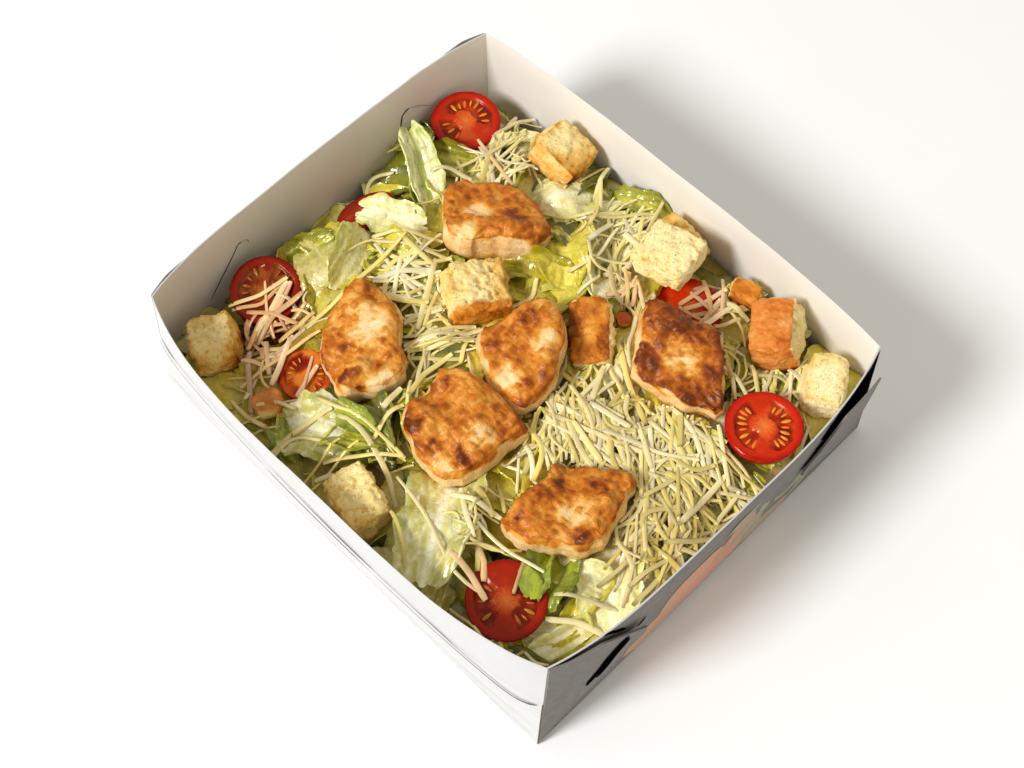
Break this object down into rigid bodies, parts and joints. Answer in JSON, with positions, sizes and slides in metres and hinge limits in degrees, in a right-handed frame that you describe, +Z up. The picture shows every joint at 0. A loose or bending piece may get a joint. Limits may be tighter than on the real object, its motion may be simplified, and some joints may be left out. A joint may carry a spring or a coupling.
{
  "type": "chicken caesar salad in an open paperboard box",
  "caption": "Caesar salad of torn romaine, seared chicken chunks, croutons, cherry tomato halves and grated cheese, heaped in an open folded paperboard takeaway box.",
  "frame": {"origin": "centre of the tray's base, on the surface that it stands on", "axes": "+X along the tray's long walls, +Y along its short walls, +Z up"},
  "size_m": [0.2178, 0.1881, 0.062],
  "materials": {
    "paperboard": "matte white coated paperboard",
    "lettuce": "moist leaf, pale rib to green edge",
    "chicken": "seared, moist, browned in patches",
    "crouton": "toasted crumb with a browned crust",
    "tomato": "wet cut flesh in a glossy skin"
  },
  "bodies": {
    "root": {"tray": "paperboard", "salad": "lettuce", "chicken_1": "chicken", "chicken_2": "chicken", "chicken_3": "chicken", "chicken_4": "chicken", "chicken_5": "chicken", "chicken_6": "chicken", "crouton_1": "crouton", "crouton_2": "crouton", "crouton_3": "crouton", "crouton_4": "crouton", "crouton_5": "crouton", "crouton_6": "crouton", "crouton_7": "crouton", "crouton_8": "crouton", "crouton_9": "crouton", "crouton_10": "crouton", "tomato_1": "tomato", "tomato_2": "tomato", "tomato_3": "tomato", "tomato_4": "tomato", "tomato_5": "tomato", "tomato_6": "tomato", "tomato_7": "tomato", "tomato_8": "tomato", "tomato_9": "tomato"}
  },
  "joints": []
}
